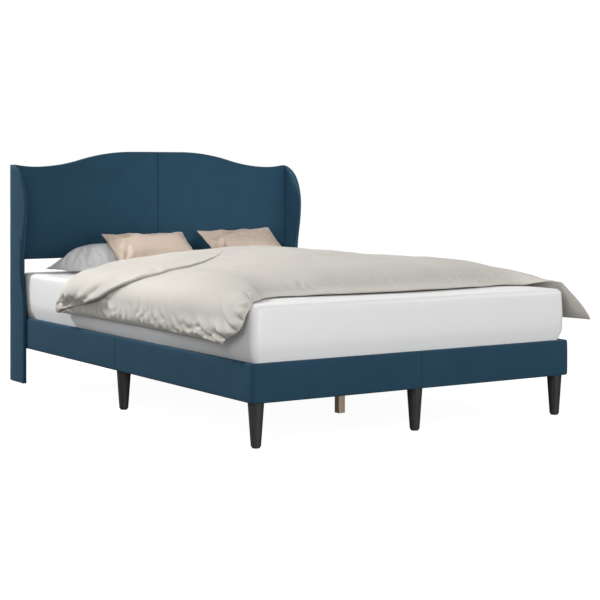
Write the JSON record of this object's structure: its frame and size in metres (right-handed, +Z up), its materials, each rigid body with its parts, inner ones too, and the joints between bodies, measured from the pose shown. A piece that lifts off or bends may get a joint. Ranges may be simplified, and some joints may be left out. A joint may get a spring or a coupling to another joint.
{
  "type": "upholstered bed",
  "caption": "Upholstered double bed with a camel-back headboard between full-height wings, padded rails, tapered legs, slats, mattress and draped bedding.",
  "frame": {"origin": "on the floor under the middle leg of the centre beam, half way between the foot rail's outer face and the wings' back edges", "axes": "+X across the bed to the right side seen from the foot, +Y along the bed to the headboard, +Z up"},
  "size_m": [1.5283, 2.093, 1.043],
  "materials": {
    "upholstery": "short-pile woven cloth",
    "lining": "non-woven dust cloth",
    "plywood": "raw",
    "pine": "planed, unfinished",
    "slat_wood": "planed",
    "zinc_steel": "zinc plated",
    "bolt_steel": "zinc plated",
    "glide": "matt",
    "webbing": "flat woven tape",
    "leg_lacquer": "satin dark lacquer",
    "mattress_cloth": "knitted ticking",
    "duvet_cloth": "soft plain weave",
    "pillow_cloth": "soft plain weave",
    "cushion_cloth": "soft plain weave"
  },
  "bodies": {
    "frame": {"beam_hangers": "zinc_steel", "centre_beam_foot": "pine", "centre_beam_head": "pine", "centre_leg_foot": "pine", "centre_leg_head": "pine", "centre_leg_middle": "pine", "corner_brackets": "zinc_steel", "foot_rail_board_left": "pine", "foot_rail_board_right": "pine", "foot_rail_cover_left": "upholstery", "foot_rail_cover_right": "upholstery", "head_rail_left": "pine", "head_rail_right": "pine", "headboard_board_left": "plywood", "headboard_board_right": "plywood", "headboard_lining_left": "lining", "headboard_lining_right": "lining", "headboard_padding_left": "upholstery", "headboard_padding_right": "upholstery", "headboard_plates": "zinc_steel", "headboard_post_left": "pine", "headboard_post_right": "pine", "joint_plates": "zinc_steel", "leg_blocks": "plywood", "leg_foot_left": "leg_lacquer", "leg_foot_middle": "leg_lacquer", "leg_foot_right": "leg_lacquer", "leg_glides": "glide", "leg_side_left": "leg_lacquer", "leg_side_right": "leg_lacquer", "leg_studs": "bolt_steel", "side_rail_board_left_foot": "pine", "side_rail_board_left_head": "pine", "side_rail_board_right_foot": "pine", "side_rail_board_right_head": "pine", "side_rail_cover_left_foot": "upholstery", "side_rail_cover_left_head": "upholstery", "side_rail_cover_right_foot": "upholstery", "side_rail_cover_right_head": "upholstery", "slat_ledge_left_foot": "pine", "slat_ledge_left_head": "pine", "slat_ledge_right_foot": "pine", "slat_ledge_right_head": "pine", "slat_webbing": "webbing", "slats_left": "slat_wood", "slats_right": "slat_wood", "wing_board_left": "plywood", "wing_board_right": "plywood", "wing_bolts": "bolt_steel", "wing_brackets": "zinc_steel", "wing_cover_left": "upholstery", "wing_cover_right": "upholstery", "wing_glides": "glide"},
    "mattress": {"mattress": "mattress_cloth"},
    "duvet": {"duvet": "duvet_cloth"},
    "pillow": {"pillow_grey": "pillow_cloth"},
    "cushion_left": {"cushion_left": "cushion_cloth"},
    "cushion_right": {"cushion_right": "cushion_cloth"}
  },
  "joints": [
    {"name": "mattress_lift", "type": "slide", "parent": "frame", "child": "mattress", "axis": [0, 0, 1], "range_m": [0, 0.3]},
    {"name": "duvet_lift", "type": "slide", "parent": "mattress", "child": "duvet", "axis": [0, 0, 1], "range_m": [0, 0.3]},
    {"name": "pillow_lift", "type": "slide", "parent": "mattress", "child": "pillow", "axis": [0, 0, 1], "range_m": [0, 0.3]},
    {"name": "cushion_left_lift", "type": "slide", "parent": "pillow", "child": "cushion_left", "axis": [0, 0, 1], "range_m": [0, 0.3]},
    {"name": "cushion_right_lift", "type": "slide", "parent": "mattress", "child": "cushion_right", "axis": [0, 0, 1], "range_m": [0, 0.3]}
  ]
}
